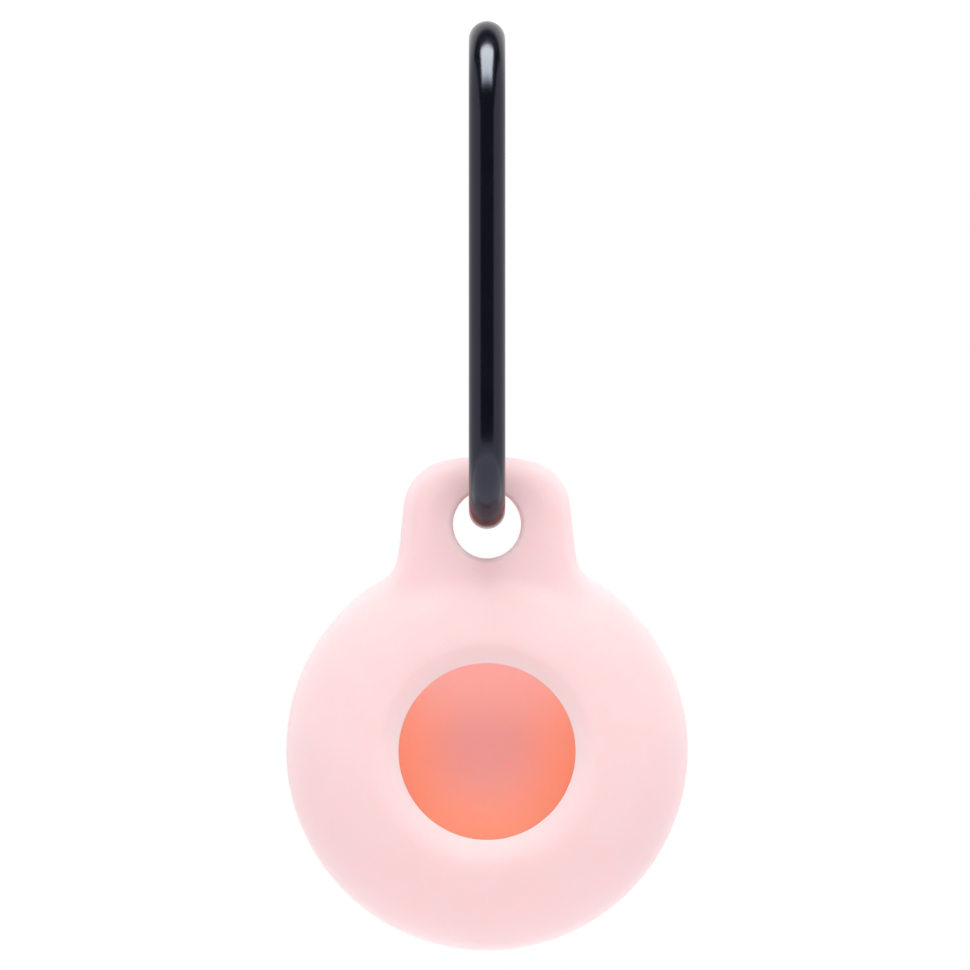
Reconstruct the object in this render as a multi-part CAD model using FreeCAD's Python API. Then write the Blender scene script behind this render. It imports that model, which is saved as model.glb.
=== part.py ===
import FreeCAD, Part
import math
import os

# A holder for a round tracker tag: a translucent silicone sleeve that hangs from a small spring-gate
# carabiner. The tag is pushed into the sleeve's pocket through the round mouth in its front face.
# Millimetres, +Z up, +X to the right and +Y away from the viewer, who sees the sleeve's front face.
# The origin is where the carabiner hangs: the underside of its top bar, in the middle of the loop.
# The loop stands in the YZ plane, with its plain spine in front and its gate at the back.

# The tag that the pocket is made for
TAG_DIAMETER = 31.9
TAG_THICKNESS = 8.0
POCKET_CLEARANCE = 0.1
POCKET_CORNER_RADIUS = 3.0

# Sleeve body
SIDE_WALL = 3.95
FACE_WALL = 1.6
RIM_RADIUS = 2.6
FLAT_MIDDLE_DIAMETER = 20.0
MOUTH_DIAMETER = 17.5
MOUTH_LIP_WALL = 0.65
MOUTH_COVE_WIDTH = 2.1

# Sleeve tab, with the eyelet that the carabiner goes through
EYELET_DIAMETER = 6.8
EYELET_EDGE_RADIUS = 0.4
EYELET_ABOVE_BODY = 2.4
TAB_ABOVE_EYELET = 3.4
TAB_WIDTH = 15.9
TAB_FLARE_DEG = 6.0
TAB_CROWN_RADIUS = 20.0
TAB_CORNER_RADIUS = 5.0
TAB_THICKNESS = 6.8
TAB_EDGE_RADIUS = 3.0
NECK_RADIUS = 6.0
TAB_BLEND_RADIUS = 2.6
TAB_ROOT_COVER = 0.1

# Carabiner loop
BAR_DIAMETER = 3.6
LOOP_HEIGHT = 50.3
LOOP_WIDTH = 24.0
LOOP_CORNER_RADIUS = 9.5
HANGING_CLEARANCE = 0.25

# Gate, its hinge and its latch
PIVOT_ABOVE_BEND = 3.0
NOSE_BELOW_BEND = 2.2
GATE_END_CLEARANCE = 0.25
GATE_OPENING_DEG = 30.0
GATE_EDGE_CHAMFER = 0.25
TONGUE_THICKNESS = 1.4
SLOT_CLEARANCE = 0.08
SLOT_FLOOR_CLEARANCE = 0.3
RIVET_DIAMETER = 1.2
RIVET_CLEARANCE = 0.04
RIVET_STAND_OUT = 0.05
PIVOT_EYE_RADIUS = 1.5
LATCH_PIN_DIAMETER = 1.0
LATCH_CLEARANCE = 0.18
HOOK_ROOT_DEPTH = 0.9
HOOK_LIP_HEIGHT = 0.9
HOOK_LIP_REACH = 1.0
HOOK_STEM_OFFSET = 0.25

# Spring and plunger that close the gate by pressing on the cam of the hinge tongue
CAM_RADIUS = 2.0
CAM_OFFSET = 1.0
CAM_CLEARANCE = 0.05
BORE_DIAMETER = 2.0
PLUNGER_CLEARANCE = 0.08
PLUNGER_BODY_LENGTH = 3.2
PLUNGER_STEM_DIAMETER = 0.9
PLUNGER_STEM_LENGTH = 3.0
SPRING_WIRE_DIAMETER = 0.3
SPRING_BORE_CLEARANCE = 0.1
SPRING_PITCH = 0.8
SPRING_TURNS = 9
SPRING_SEAT_CLEARANCE = 0.05

# Levels and radii that follow from the sizes above
BAR_RADIUS = BAR_DIAMETER / 2
LEG_Y = LOOP_WIDTH / 2 - BAR_RADIUS
BEND_RADIUS = LOOP_CORNER_RADIUS - BAR_RADIUS
TOP_BAR_Z = BAR_RADIUS
BOTTOM_BAR_Z = TOP_BAR_Z - (LOOP_HEIGHT - BAR_DIAMETER)
EYELET_RADIUS = EYELET_DIAMETER / 2
EYELET_Z = BOTTOM_BAR_Z + BAR_RADIUS + HANGING_CLEARANCE - EYELET_RADIUS
POCKET_RADIUS = TAG_DIAMETER / 2 + POCKET_CLEARANCE
POCKET_DEPTH = TAG_THICKNESS / 2 + POCKET_CLEARANCE
BODY_RADIUS = POCKET_RADIUS + SIDE_WALL
BODY_DEPTH = POCKET_DEPTH + FACE_WALL
BODY_Z = EYELET_Z - EYELET_ABOVE_BODY - BODY_RADIUS
TAB_TOP_Z = EYELET_Z + EYELET_RADIUS + TAB_ABOVE_EYELET
MOUTH_RADIUS = MOUTH_DIAMETER / 2
FLAT_MIDDLE_RADIUS = FLAT_MIDDLE_DIAMETER / 2
RIM_CENTRE_RADIUS = BODY_RADIUS - RIM_RADIUS
DOME_SPAN = RIM_CENTRE_RADIUS - FLAT_MIDDLE_RADIUS
DOME_RADIUS = (DOME_SPAN**2 + BODY_DEPTH**2 - RIM_RADIUS**2) / (2 * (BODY_DEPTH - RIM_RADIUS))
TAB_EDGE_FILLET = min(TAB_EDGE_RADIUS, 0.48 * TAB_THICKNESS)
TAB_EDGE_CENTRE_Y = TAB_THICKNESS / 2 - TAB_EDGE_FILLET
TAB_EDGE_ROOM = DOME_RADIUS - TAB_EDGE_FILLET - TAB_ROOT_COVER
TAB_ROOT_SPAN = math.sqrt(TAB_EDGE_ROOM**2 - (DOME_RADIUS - BODY_DEPTH + TAB_EDGE_CENTRE_Y) ** 2)
TAB_ROOT_RADIUS = FLAT_MIDDLE_RADIUS + TAB_ROOT_SPAN + TAB_EDGE_FILLET
PIVOT_Z = BOTTOM_BAR_Z + BEND_RADIUS + PIVOT_ABOVE_BEND
HINGE_SHOULDER_Z = PIVOT_Z - BAR_RADIUS - GATE_END_CLEARANCE
NOSE_Z = TOP_BAR_Z - BEND_RADIUS - NOSE_BELOW_BEND
GATE_TOP_Z = NOSE_Z - GATE_END_CLEARANCE
SLOT_WIDTH = TONGUE_THICKNESS + 2 * SLOT_CLEARANCE
LATCH_PIN_RADIUS = LATCH_PIN_DIAMETER / 2
LATCH_PIN_Y = LEG_Y + HOOK_STEM_OFFSET - LATCH_CLEARANCE / 2 - LATCH_PIN_RADIUS
LATCH_PIN_Z = NOSE_Z - HOOK_ROOT_DEPTH - LATCH_CLEARANCE - LATCH_PIN_RADIUS
HOOK_LIP_TOP_Z = LATCH_PIN_Z - LATCH_PIN_RADIUS - LATCH_CLEARANCE
HOOK_END_Z = HOOK_LIP_TOP_Z - HOOK_LIP_HEIGHT
CAM_CORNER_HEIGHT = math.sqrt(CAM_RADIUS**2 - (BAR_RADIUS - CAM_OFFSET) ** 2)
HINGE_SLOT_TOP_Z = PIVOT_Z + math.hypot(BAR_RADIUS, CAM_CORNER_HEIGHT) + SLOT_FLOOR_CLEARANCE
PLUNGER_RADIUS = BORE_DIAMETER / 2 - PLUNGER_CLEARANCE
SPRING_MEAN_RADIUS = BORE_DIAMETER / 2 - SPRING_BORE_CLEARANCE - SPRING_WIRE_DIAMETER / 2

# How near two places lie when they count as the same, where edges are picked by their place
SAME = 1e-4

X_AXIS = FreeCAD.Vector(1, 0, 0)
Y_AXIS = FreeCAD.Vector(0, 1, 0)
Z_AXIS = FreeCAD.Vector(0, 0, 1)


def point(x, y, z):
    """A point in the part's frame."""
    return FreeCAD.Vector(x, y, z)


def box(low, high):
    """A block between its lowest and highest corners."""
    size = high - low
    return Part.makeBox(size.x, size.y, size.z, low)


def cross_pin(radius, half_length, y, z):
    """A round pin along X, centred on the loop's plane."""
    return Part.makeCylinder(radius, 2 * half_length, point(-half_length, y, z), X_AXIS)


def leg_rod(low_z, high_z):
    """A round rod of the bar's diameter on the gate side of the loop."""
    return Part.makeCylinder(BAR_RADIUS, high_z - low_z, point(0, LEG_Y, low_z), Z_AXIS)


def plunger_lift(angle):
    """Height of the plunger's round tip above the pivot, with the gate opened by an angle in radians."""
    reach = CAM_RADIUS + PLUNGER_RADIUS
    across = CAM_OFFSET * math.cos(angle)
    return CAM_OFFSET * math.sin(angle) + math.sqrt(reach**2 - across**2) - PLUNGER_RADIUS


# Heights along the gate's bore, which follow the plunger and the spring
PLUNGER_TIP_Z = PIVOT_Z + plunger_lift(0) + CAM_CLEARANCE
PLUNGER_SHOULDER_Z = PLUNGER_TIP_Z + PLUNGER_BODY_LENGTH
SPRING_START_Z = PLUNGER_SHOULDER_Z + SPRING_SEAT_CLEARANCE + SPRING_WIRE_DIAMETER / 2
SPRING_END_Z = SPRING_START_Z + SPRING_TURNS * SPRING_PITCH
BORE_END_Z = SPRING_END_Z + SPRING_WIRE_DIAMETER / 2 + SPRING_SEAT_CLEARANCE


def body_profile(side):
    """Edges of one face of the sleeve body from the rim's widest point to the flat middle, in radius and Y.

    The rim is a small arc that runs tangent into the wide arc of the dome, which ends flat.
    side is -1 for the front face and 1 for the back.
    """
    turn = math.asin(DOME_SPAN / (DOME_RADIUS - RIM_RADIUS))

    def on_rim(angle):
        radius = RIM_CENTRE_RADIUS + RIM_RADIUS * math.cos(angle)
        return point(radius, side * RIM_RADIUS * math.sin(angle), 0)

    def on_dome(angle):
        drop = DOME_RADIUS * (1 - math.cos(angle))
        return point(FLAT_MIDDLE_RADIUS + DOME_RADIUS * math.sin(angle), side * (BODY_DEPTH - drop), 0)

    rim_end = math.pi / 2 - turn
    rim = Part.Arc(on_rim(0), on_rim(rim_end / 2), on_rim(rim_end))
    dome = Part.Arc(on_rim(rim_end), on_dome(turn / 2), on_dome(0))
    return [rim.toShape(), dome.toShape()]


def body_solid():
    """The round body of the sleeve without its hollows, as one turned shape."""
    edges = []
    for side in (-1, 1):
        edges += body_profile(side)
        flat_start = point(FLAT_MIDDLE_RADIUS, side * BODY_DEPTH, 0)
        edges.append(Part.makeLine(flat_start, point(0, side * BODY_DEPTH, 0)))
    edges.append(Part.makeLine(point(0, -BODY_DEPTH, 0), point(0, BODY_DEPTH, 0)))
    face = Part.Face(Part.Wire(Part.sortEdges(edges)[0]))
    turned = face.revolve(point(0, 0, 0), Y_AXIS, 360)
    return turned.translated(point(0, 0, BODY_Z))


def mouth_cutter():
    """What is cut away in front: the round mouth and the cove that sinks the face towards it."""
    lip_y = -(POCKET_DEPTH + MOUTH_LIP_WALL)
    cove_radius = MOUTH_RADIUS + MOUTH_COVE_WIDTH
    middle = point((MOUTH_RADIUS + cove_radius) / 2, (lip_y - BODY_DEPTH) / 2, 0)
    drop = BODY_DEPTH + lip_y
    sweep = (MOUTH_COVE_WIDTH**2 + drop**2) / (4 * drop)
    half_turn = math.atan2(drop, MOUTH_COVE_WIDTH)
    aside = sweep * math.sin(half_turn)
    rise = sweep * (1 - math.cos(half_turn))
    inner = point(MOUTH_RADIUS, lip_y, 0)
    outer = point(cove_radius, -BODY_DEPTH, 0)
    above = -2 * BODY_DEPTH
    edges = [
        Part.makeLine(point(0, 0, 0), point(MOUTH_RADIUS, 0, 0)),
        Part.makeLine(point(MOUTH_RADIUS, 0, 0), inner),
        Part.Arc(inner, point(MOUTH_RADIUS + aside, lip_y - rise, 0), middle).toShape(),
        Part.Arc(middle, point(cove_radius - aside, -BODY_DEPTH + rise, 0), outer).toShape(),
        Part.makeLine(outer, point(cove_radius, above, 0)),
        Part.makeLine(point(cove_radius, above, 0), point(0, above, 0)),
        Part.makeLine(point(0, above, 0), point(0, 0, 0)),
    ]
    face = Part.Face(Part.Wire(edges))
    return face.revolve(point(0, 0, 0), Y_AXIS, 360).translated(point(0, 0, BODY_Z))


def pocket_solid():
    """The space for the tag: a disc with rounded corners."""
    disc = Part.makeCylinder(POCKET_RADIUS, 2 * POCKET_DEPTH, point(0, -POCKET_DEPTH, BODY_Z), Y_AXIS)
    rims = [e for e in disc.Edges if isinstance(e.Curve, Part.Circle)]
    return disc.makeFillet(POCKET_CORNER_RADIUS, rims)


def is_upright(edge):
    """True for a straight edge along Y, through the tab's thickness."""
    if not isinstance(edge.Curve, Part.Line):
        return False
    return abs(abs(edge.tangentAt(edge.FirstParameter).y) - 1) < SAME


def tab_solid():
    """The tab as a plate with rounded edges, spread at its root along the rim of the body."""
    half = TAB_THICKNESS / 2
    flank_x = TAB_WIDTH / 2
    flare = math.tan(math.radians(TAB_FLARE_DEG))
    sag = TAB_CROWN_RADIUS - math.sqrt(TAB_CROWN_RADIUS**2 - flank_x**2)
    shoulder_z = TAB_TOP_Z - sag
    root_x = flank_x + flare * (shoulder_z - BODY_Z)
    root_left = point(-root_x, -half, BODY_Z)
    root_right = point(root_x, -half, BODY_Z)
    left = point(-flank_x, -half, shoulder_z)
    right = point(flank_x, -half, shoulder_z)
    crown = Part.Arc(left, point(0, -half, TAB_TOP_Z), right).toShape()
    edges = [
        Part.makeLine(root_left, left),
        crown,
        Part.makeLine(right, root_right),
        Part.makeLine(root_right, root_left),
    ]
    along = point(0, TAB_THICKNESS, 0)
    plate = Part.Face(Part.Wire(edges)).extrude(along)
    disc = Part.makeCylinder(TAB_ROOT_RADIUS, TAB_THICKNESS, point(0, -half, BODY_Z), Y_AXIS)
    plate = plate.fuse(disc).removeSplitter()
    corners = [e for e in plate.Edges if is_upright(e) and e.CenterOfMass.z > EYELET_Z]
    plate = plate.makeFillet(TAB_CORNER_RADIUS, corners)
    necks = [e for e in plate.Edges if is_upright(e) and BODY_Z < e.CenterOfMass.z < BODY_Z + BODY_RADIUS]
    plate = plate.makeFillet(NECK_RADIUS, necks)
    outline = [e for e in plate.Edges if abs(abs(e.CenterOfMass.y) - half) < SAME]
    return plate.makeFillet(TAB_EDGE_FILLET, outline)


def eyelet_cutter():
    """What is cut away for the eyelet: a round hole with rounded edges at both faces of the tab."""
    face_y = TAB_THICKNESS / 2
    wide = EYELET_RADIUS + EYELET_EDGE_RADIUS
    wall_y = face_y - EYELET_EDGE_RADIUS
    inset = EYELET_EDGE_RADIUS * math.sqrt(0.5)
    edges = [Part.makeLine(point(EYELET_RADIUS, -wall_y, 0), point(EYELET_RADIUS, wall_y, 0))]
    for side in (-1, 1):
        wall_end = point(EYELET_RADIUS, side * wall_y, 0)
        face_start = point(wide, side * face_y, 0)
        rounded = point(wide - inset, side * (wall_y + inset), 0)
        outside = point(wide, side * BODY_DEPTH, 0)
        edges.append(Part.Arc(wall_end, rounded, face_start).toShape())
        edges.append(Part.makeLine(face_start, outside))
        edges.append(Part.makeLine(outside, point(0, side * BODY_DEPTH, 0)))
    edges.append(Part.makeLine(point(0, -BODY_DEPTH, 0), point(0, BODY_DEPTH, 0)))
    face = Part.Face(Part.Wire(Part.sortEdges(edges)[0]))
    return face.revolve(point(0, 0, 0), Y_AXIS, 360).translated(point(0, 0, EYELET_Z))


def seam_edges(shape, first, second):
    """Edges of a fused shape along which the skins of the two pieces meet."""
    seams = []
    for edge in shape.Edges:
        middle = Part.Vertex(edge.valueAt((edge.FirstParameter + edge.LastParameter) / 2))
        if all(piece.Shells[0].distToShape(middle)[0] < SAME for piece in (first, second)):
            seams.append(edge)
    return seams


def silicone_sleeve():
    """The sleeve: body, tab, pocket, mouth and eyelet in one moulding."""
    body = body_solid()
    tab = tab_solid()
    shell = body.fuse(tab).removeSplitter()
    shell = shell.makeFillet(TAB_BLEND_RADIUS, seam_edges(shell, body, tab))
    for hollow in (pocket_solid(), mouth_cutter(), eyelet_cutter()):
        shell = shell.cut(hollow)
    return shell.removeSplitter()


def bend(y_side, z_side):
    """A quarter ring of the loop's bar at one corner, named by the signs of its side in Y and Z."""
    middle_z = (TOP_BAR_Z + BOTTOM_BAR_Z) / 2
    centre_y = y_side * (LEG_Y - BEND_RADIUS)
    centre_z = middle_z + z_side * ((TOP_BAR_Z - BOTTOM_BAR_Z) / 2 - BEND_RADIUS)
    start = point(0, centre_y + y_side * BEND_RADIUS, centre_z)
    section = Part.Face(Part.Wire(Part.makeCircle(BAR_RADIUS, start, Z_AXIS)))
    return section.revolve(point(0, centre_y, centre_z), X_AXIS * (y_side * z_side), 90)


def loop_rods():
    """The straight rods of the loop: top, bottom, spine and the stubs beside the gate."""
    flat = 2 * (LEG_Y - BEND_RADIUS)
    upright = TOP_BAR_Z - BOTTOM_BAR_Z - 2 * BEND_RADIUS
    low_bend_z = BOTTOM_BAR_Z + BEND_RADIUS
    high_bend_z = TOP_BAR_Z - BEND_RADIUS
    rods = [Part.makeCylinder(BAR_RADIUS, upright, point(0, -LEG_Y, low_bend_z), Z_AXIS)]
    for level in (TOP_BAR_Z, BOTTOM_BAR_Z):
        rods.append(Part.makeCylinder(BAR_RADIUS, flat, point(0, -flat / 2, level), Y_AXIS))
    rods.append(leg_rod(low_bend_z, HINGE_SHOULDER_Z))
    rods.append(leg_rod(NOSE_Z, high_bend_z))
    return rods


def slab(low_z, high_z):
    """A flat tongue cut from the bar's end: the middle of the rod between two planes."""
    half = TONGUE_THICKNESS / 2
    plate = box(point(-half, LEG_Y - BAR_RADIUS, low_z), point(half, LEG_Y + BAR_RADIUS, high_z))
    return plate.common(leg_rod(low_z, high_z))


def hinge_tongue():
    """The tongue inside the gate's hinge fork, with its cam on top and its rivet hole."""
    past_sides = TONGUE_THICKNESS
    root = slab(HINGE_SHOULDER_Z, PIVOT_Z)
    eye = cross_pin(PIVOT_EYE_RADIUS, past_sides, LEG_Y, PIVOT_Z)
    cam = cross_pin(CAM_RADIUS, past_sides, LEG_Y - CAM_OFFSET, PIVOT_Z)
    head = eye.fuse(cam).common(slab(PIVOT_Z, PIVOT_Z + CAM_RADIUS))
    hole = cross_pin(RIVET_DIAMETER / 2 + RIVET_CLEARANCE, past_sides, LEG_Y, PIVOT_Z)
    return root.fuse(head).cut(hole)


def latch_hook():
    """The hook on the nose, open towards the spine, that the latch pin swings into."""
    past_sides = TONGUE_THICKNESS
    hook = slab(HOOK_END_Z, NOSE_Z)
    notch_top = NOSE_Z - HOOK_ROOT_DEPTH
    stem_y = LEG_Y + HOOK_STEM_OFFSET
    front_y = LEG_Y - BAR_DIAMETER
    notch = box(point(-past_sides, front_y, HOOK_LIP_TOP_Z), point(past_sides, stem_y, notch_top))
    tip_y = LEG_Y - HOOK_LIP_REACH
    tip = box(point(-past_sides, front_y, HOOK_END_Z), point(past_sides, tip_y, notch_top))
    return hook.cut(notch).cut(tip)


def carabiner_frame():
    """The bent bar of the carabiner, from the hinge tongue round to the latch hook."""
    pieces = loop_rods()
    pieces += [bend(y_side, z_side) for y_side in (-1, 1) for z_side in (-1, 1)]
    pieces += [hinge_tongue(), latch_hook()]
    return pieces[0].multiFuse(pieces[1:]).removeSplitter()


def fork_slot(low_z, high_z):
    """A slot through the gate, square to the rivet and the latch pin."""
    half = SLOT_WIDTH / 2
    return box(point(-half, LEG_Y - BAR_DIAMETER, low_z), point(half, LEG_Y + BAR_DIAMETER, high_z))


def carabiner_gate():
    """The gate: a round rod with a fork at each end and a bore for its spring."""
    rod = leg_rod(PIVOT_Z, GATE_TOP_Z)
    top_rim = [e for e in rod.Edges if abs(e.CenterOfMass.z - GATE_TOP_Z) < SAME]
    rod = rod.makeChamfer(GATE_EDGE_CHAMFER, top_rim)
    heel = leg_rod(PIVOT_Z - BAR_RADIUS, PIVOT_Z).common(
        cross_pin(BAR_RADIUS, BAR_RADIUS, LEG_Y, PIVOT_Z)
    )
    gate = rod.fuse(heel).removeSplitter()
    hinge_slot = fork_slot(PIVOT_Z - BAR_DIAMETER, HINGE_SLOT_TOP_Z)
    latch_slot = fork_slot(HOOK_END_Z - SLOT_FLOOR_CLEARANCE, GATE_TOP_Z + BAR_RADIUS)
    bore_start_z = PIVOT_Z - BAR_DIAMETER
    bore = Part.makeCylinder(
        BORE_DIAMETER / 2, BORE_END_Z - bore_start_z, point(0, LEG_Y, bore_start_z), Z_AXIS
    )
    rivet_hole = cross_pin(RIVET_DIAMETER / 2, BAR_DIAMETER, LEG_Y, PIVOT_Z)
    latch_hole = cross_pin(LATCH_PIN_RADIUS, BAR_DIAMETER, LATCH_PIN_Y, LATCH_PIN_Z)
    for cutter in (hinge_slot, latch_slot, bore, rivet_hole, latch_hole):
        gate = gate.cut(cutter)
    return gate


def hinge_rivet():
    """The rivet that the gate turns on, with rounded ends that stand out a little."""
    half_length = BAR_RADIUS + RIVET_STAND_OUT
    rivet = cross_pin(RIVET_DIAMETER / 2, half_length, LEG_Y, PIVOT_Z)
    rims = [e for e in rivet.Edges if abs(abs(e.CenterOfMass.x) - half_length) < SAME]
    return rivet.makeFillet(RIVET_STAND_OUT, rims)


def latch_pin():
    """The pin across the gate's latch fork, as long as the fork is wide there."""
    aside = abs(LATCH_PIN_Y - LEG_Y) + LATCH_PIN_RADIUS
    half_length = math.sqrt(BAR_RADIUS**2 - aside**2)
    return cross_pin(LATCH_PIN_RADIUS, half_length, LATCH_PIN_Y, LATCH_PIN_Z)


def spring_plunger():
    """The plunger: a round-nosed body that rides on the cam, with a stem inside the spring."""
    nose_z = PLUNGER_TIP_Z + PLUNGER_RADIUS
    nose = Part.makeSphere(PLUNGER_RADIUS, point(0, LEG_Y, nose_z))
    body = Part.makeCylinder(
        PLUNGER_RADIUS, PLUNGER_SHOULDER_Z - nose_z, point(0, LEG_Y, nose_z), Z_AXIS
    )
    stem = Part.makeCylinder(
        PLUNGER_STEM_DIAMETER / 2,
        PLUNGER_STEM_LENGTH,
        point(0, LEG_Y, PLUNGER_SHOULDER_Z),
        Z_AXIS,
    )
    return nose.multiFuse([body, stem]).removeSplitter()


def spring_point(turns):
    """A point on the spring's centre line, a number of turns from its lower end."""
    angle = 2 * math.pi * turns
    return point(
        SPRING_MEAN_RADIUS * math.cos(angle),
        LEG_Y + SPRING_MEAN_RADIUS * math.sin(angle),
        SPRING_START_Z + SPRING_PITCH * turns,
    )


def spring_tangent(turns):
    """The direction of the spring's centre line at that point."""
    angle = 2 * math.pi * turns
    rise = SPRING_PITCH / (2 * math.pi * SPRING_MEAN_RADIUS)
    return point(-math.sin(angle), math.cos(angle), rise).normalize()


def tangent_arc(start, end, tangent):
    """An arc between two points that leaves the first along a tangent."""
    chord = end - start
    along = FreeCAD.Vector(chord).normalize()
    aside = (tangent - along * tangent.dot(along)).normalize()
    half_turn = tangent.getAngle(along) / 2
    middle = start + chord * 0.5 + aside * (chord.Length / 2 * math.tan(half_turn))
    return Part.Arc(start, middle, end).toShape()


def biarc(start_turns, end_turns):
    """Two arcs along the spring between two of its points, tangent to it at both."""
    start = spring_point(start_turns)
    end = spring_point(end_turns)
    leave = spring_tangent(start_turns)
    arrive = spring_tangent(end_turns)
    chord = end - start
    along = chord.dot(leave + arrive)
    spread = 2 * (1 - leave.dot(arrive))
    reach = (math.sqrt(along**2 + spread * chord.dot(chord)) - along) / spread
    joint = (start + leave * reach + end - arrive * reach) * 0.5
    second = tangent_arc(end, joint, arrive * -1)
    return [tangent_arc(start, joint, leave), second]


def spring_gap():
    """The least gap between neighbouring turns of the spring, measured on points of its centre line."""
    steps = 48
    low = [spring_point(1 + i / steps) for i in range(steps)]
    high = [spring_point(2 + (i - steps / 2) / steps) for i in range(2 * steps)]
    least = min((a - b).Length for a in low for b in high if b.z - a.z > SPRING_PITCH / 2)
    return least - SPRING_WIRE_DIAMETER


def gate_spring():
    """The coil spring in the gate's bore, one unbroken wire on half-turn biarcs."""
    edges = []
    for half in range(2 * SPRING_TURNS):
        edges += biarc(half / 2, (half + 1) / 2)
    path = Part.Wire(Part.sortEdges(edges)[0])
    section = Part.Wire(Part.makeCircle(SPRING_WIRE_DIAMETER / 2, spring_point(0), spring_tangent(0)))
    return path.makePipeShell([section], True, False)


NODES = {
    "silicone_sleeve": silicone_sleeve,
    "carabiner_frame": carabiner_frame,
    "carabiner_gate": carabiner_gate,
    "hinge_rivet": hinge_rivet,
    "latch_pin": latch_pin,
    "spring_plunger": spring_plunger,
    "gate_spring": gate_spring,
}


def main():
    """Builds each piece, writes it and prints what the record needs."""
    os.makedirs("parts", exist_ok=True)
    for name, make in NODES.items():
        shape = make()
        if not shape.isValid() or len(shape.Solids) != 1:
            raise ValueError(f"{name} is not one valid solid")
        shape.Solids[0].exportStep(f"parts/{name}.step")
        print(f"{name}: volume {shape.Volume:.2f} mm3")
    opening = math.radians(GATE_OPENING_DEG)
    travel = plunger_lift(opening) - plunger_lift(0)
    print(f"plunger travel {travel:.4f} mm, {travel / opening / 1000:.7f} m per radian of the gate")
    print(f"swing axis Z {BOTTOM_BAR_Z:.3f}, gate pivot Y {LEG_Y:.3f} Z {PIVOT_Z:.3f}")
    print(f"body centre Z {BODY_Z:.3f}, back face Y {BODY_DEPTH:.3f}, tab top Z {TAB_TOP_Z:.3f}")
    print(f"least gap between the spring's turns {spring_gap():.3f} mm")


main()
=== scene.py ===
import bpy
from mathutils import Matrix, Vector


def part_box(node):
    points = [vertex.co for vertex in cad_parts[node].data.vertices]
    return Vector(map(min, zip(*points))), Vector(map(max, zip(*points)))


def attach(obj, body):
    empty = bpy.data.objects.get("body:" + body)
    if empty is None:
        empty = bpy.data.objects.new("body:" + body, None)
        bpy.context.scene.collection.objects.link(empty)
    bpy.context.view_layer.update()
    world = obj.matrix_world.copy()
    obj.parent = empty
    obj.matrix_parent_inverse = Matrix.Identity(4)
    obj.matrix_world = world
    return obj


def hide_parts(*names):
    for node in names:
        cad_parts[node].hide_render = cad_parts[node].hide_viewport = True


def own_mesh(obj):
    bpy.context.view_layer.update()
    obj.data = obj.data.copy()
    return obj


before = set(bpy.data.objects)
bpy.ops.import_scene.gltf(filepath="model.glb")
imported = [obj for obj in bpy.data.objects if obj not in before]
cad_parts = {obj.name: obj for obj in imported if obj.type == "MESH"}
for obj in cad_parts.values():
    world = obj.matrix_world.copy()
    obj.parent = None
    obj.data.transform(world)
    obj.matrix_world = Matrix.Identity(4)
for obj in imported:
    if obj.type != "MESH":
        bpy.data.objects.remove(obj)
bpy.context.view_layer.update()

import logging
import math
from collections.abc import Callable
from dataclasses import dataclass, field
from enum import Enum

import bpy
from mathutils import Vector

# A holder for a round tracker tag. A sleeve of pale pink translucent silicone hangs by the eyelet of its
# tab from a slim black carabiner with a sprung gate. Metres, +Z up, seen from the front along +Y. Sizes in
# the classes are in millimetres, as a maker writes them.

MM = 0.001
MICRON = MM / 1000
# An edge that turns further than this is shaded sharp.
SHARP_TURN = math.radians(35)

log = logging.getLogger("tag_holder")

Point = tuple[float, float]
Span = tuple[float, float]
Triple = tuple[float, float, float]
Colour = tuple[float, float, float, float]
NodeInput = float | tuple | bpy.types.NodeSocket


class Body(Enum):
    """The bodies of the frame that pieces ride on."""

    SLEEVE = "sleeve"
    GATE = "gate"


class Slot(Enum):
    """The record's material slots."""

    PINK_SILICONE = "pink_silicone"
    PIN_STEEL = "pin_steel"


class Cut(Enum):
    """How one mesh acts on another."""

    JOIN = "UNION"
    REMOVE = "DIFFERENCE"


def linear(hex_colour: str) -> Colour:
    """Turns an sRGB hex colour into linear light.

    Args:
        hex_colour: six hex digits after a hash sign.

    Returns:
        Red, green, blue and an alpha of 1.
    """
    values = [int(hex_colour[i : i + 2], 16) / 255 for i in (1, 3, 5)]
    red, green, blue = (v / 12.92 if v <= 0.04045 else ((v + 0.055) / 1.055) ** 2.4 for v in values)
    return red, green, blue, 1.0


def add_node(
    tree: bpy.types.NodeTree,
    kind: str,
    inputs: dict[str | int, NodeInput] | None = None,
    **settings: str | bool,
) -> bpy.types.Node:
    """Adds a node with its settings, its values and its links.

    Args:
        tree: the tree that gets the node.
        kind: Blender's name for the type of node.
        inputs: a value to set or a socket to link, by the name or number of the node's input.
        settings: the node's own properties.

    Returns:
        The new node.
    """
    node = tree.nodes.new(kind)
    for name, value in settings.items():
        setattr(node, name, value)
    for name, value in (inputs or {}).items():
        if isinstance(value, bpy.types.NodeSocket):
            tree.links.new(value, node.inputs[name])
        else:
            node.inputs[name].default_value = value
    return node


def new_material(name: str) -> tuple[bpy.types.Material, bpy.types.NodeTree]:
    """Makes an empty node material.

    Args:
        name: the material's name.

    Returns:
        The material and its node tree.
    """
    material = bpy.data.materials.new(name)
    material.use_nodes = True
    material.node_tree.nodes.clear()
    return material, material.node_tree


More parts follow.
